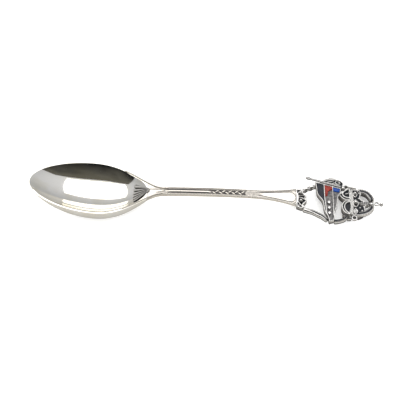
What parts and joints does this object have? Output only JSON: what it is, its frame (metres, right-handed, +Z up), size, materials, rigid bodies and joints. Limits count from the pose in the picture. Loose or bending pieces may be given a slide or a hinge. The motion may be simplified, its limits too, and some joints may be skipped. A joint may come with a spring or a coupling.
{
  "type": "souvenir spoon",
  "caption": "Small silver coffee spoon with an oval bowl, a slim threaded stem and an openwork finial: an enamelled flag on a pole in front of an arched crown.",
  "frame": {"origin": "on the table under the middle of the spoon's bounding box", "axes": "+X runs along the spoon from the bowl's tip to the finial, +Z is up out of the bowl, +Y is the flag pole's side"},
  "size_m": [0.1096, 0.0194, 0.0096],
  "materials": {
    "polished_silver": "polished sterling silver with fine wear scratches",
    "oxidised_silver": "cast silver, blackened in the recesses and worn bright on the edges",
    "navy_enamel": "glossy fired glass enamel, near-black navy",
    "red_enamel": "glossy fired glass enamel, brick red, chipped",
    "blue_enamel": "glossy fired glass enamel, royal blue, chipped"
  },
  "bodies": {
    "root": {"bowl": "polished_silver", "stem": "polished_silver", "crest_pearl_upper": "polished_silver", "crest_pearl_lower": "polished_silver", "flag_plate": "polished_silver", "flag_stud_1": "polished_silver", "flag_stud_2": "polished_silver", "flag_stud_3": "polished_silver", "flag_pole": "polished_silver", "pole_head": "polished_silver", "pole_knob": "polished_silver", "crown_bar": "polished_silver", "circlet_bead": "polished_silver", "circlet_jewel": "polished_silver", "circlet_ring": "polished_silver", "orb_ring": "polished_silver", "orb_ball": "polished_silver", "heel_fan": "oxidised_silver", "stem_crest": "oxidised_silver", "upper_arm": "oxidised_silver", "lower_arm": "oxidised_silver", "leaf_scroll": "oxidised_silver", "lower_scroll": "oxidised_silver", "upper_swag": "oxidised_silver", "lower_swag": "oxidised_silver", "circlet": "oxidised_silver", "ring_link": "oxidised_silver", "crown_corner": "oxidised_silver", "arch_upper": "oxidised_silver", "arch_middle": "oxidised_silver", "arch_lower": "oxidised_silver", "crown_boss": "oxidised_silver", "enamel_navy": "navy_enamel", "enamel_red": "red_enamel", "enamel_blue": "blue_enamel"}
  },
  "joints": []
}
